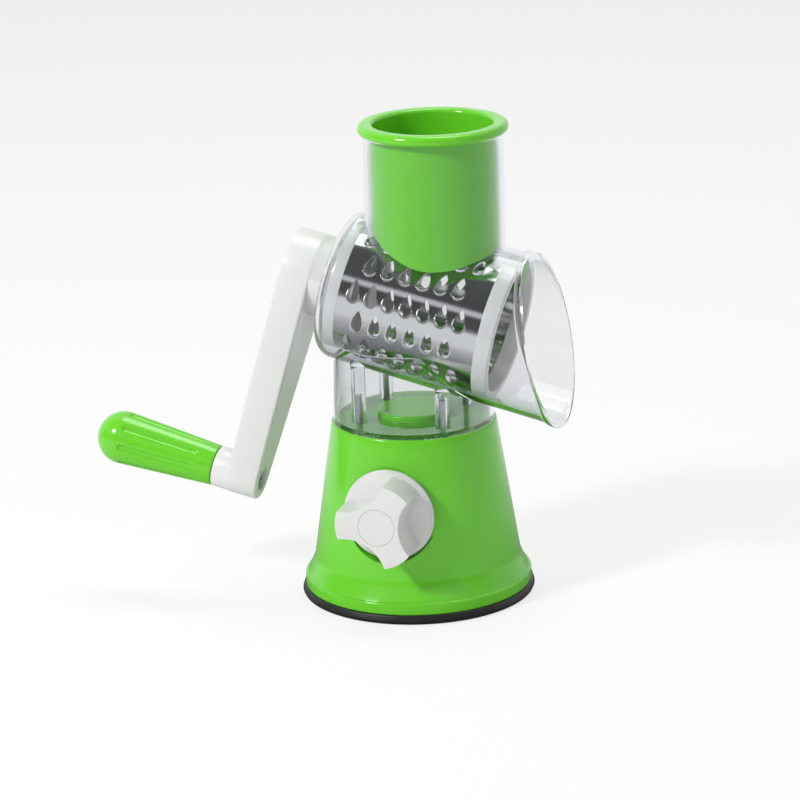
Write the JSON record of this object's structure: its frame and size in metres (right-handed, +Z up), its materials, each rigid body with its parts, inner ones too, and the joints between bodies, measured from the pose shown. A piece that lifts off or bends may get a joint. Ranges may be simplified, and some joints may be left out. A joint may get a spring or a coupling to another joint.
{
  "type": "rotary cabbage shredder",
  "caption": "Hand-cranked drum shredder: a toothed steel drum in a clear tilted barrel with a feed chute and pusher, on a conical base with a suction cup and knob.",
  "frame": {"origin": "centre of the suction cup's underside, on the table", "axes": "+Z up; +X forwards, the way the barrel's mouth faces; the suction knob is on the -Y side"},
  "size_m": [0.2234, 0.1194, 0.23],
  "materials": {
    "green": "gloss, bright yellow-green ABS",
    "white": "gloss, white ABS",
    "clear": "clear, polished",
    "steel": "polished stainless sheet",
    "fastener": "zinc-plated",
    "rubber": "smooth black rubber"
  },
  "bodies": {
    "root": {"base_shell": "green", "base_plate": "white", "base_plate_screws": "fastener", "suction_cup": "rubber", "housing": "clear", "housing_screws": "fastener"},
    "knob": {"knob": "white", "knob_screw": "fastener", "knob_cap": "white", "cam_shaft": "fastener"},
    "lifter": {"cup_core": "white", "rod_pin": "fastener", "lift_rod": "fastener"},
    "crank": {"crank_arm": "white", "drive_shaft": "white", "shaft_screw": "fastener"},
    "grip": {"grip": "green", "grip_bolt": "fastener", "grip_washer": "fastener"},
    "drum": {"drum_shell": "steel", "drum_hub": "white", "drum_ring": "white"},
    "pusher": {"pusher": "green"}
  },
  "joints": [
    {"name": "crank_spin", "type": "hinge", "parent": "root", "child": "crank", "pos_m": [0, 0, 0.1428], "axis": [0.974, 0, -0.2267], "continuous": true},
    {"name": "grip_spin", "type": "hinge", "parent": "crank", "child": "grip", "pos_m": [-0.02161, -0.03338, 0.04996], "axis": [0.974, 0, -0.2267], "continuous": true},
    {"name": "drum_draw", "type": "slide", "parent": "crank", "child": "drum", "axis": [0.974, 0, -0.2267], "range_m": [0, 0.11]},
    {"name": "pusher_lift", "type": "slide", "parent": "root", "child": "pusher", "axis": [0, 0, 1], "range_m": [0, 0.06]},
    {"name": "knob_turn", "type": "hinge", "parent": "root", "child": "knob", "pos_m": [0, 0, 0.0502], "axis": [0, -1, 0], "range_deg": [0, 90]},
    {"name": "suction_lift", "type": "slide", "parent": "root", "child": "lifter", "axis": [0, 0, 1], "range_m": [0, 0.00424], "deforming": ["suction_cup"]}
  ],
  "couplings": [
    {"joint": "suction_lift", "follows": "knob_turn", "m_per_rad": 0.0027009}
  ]
}
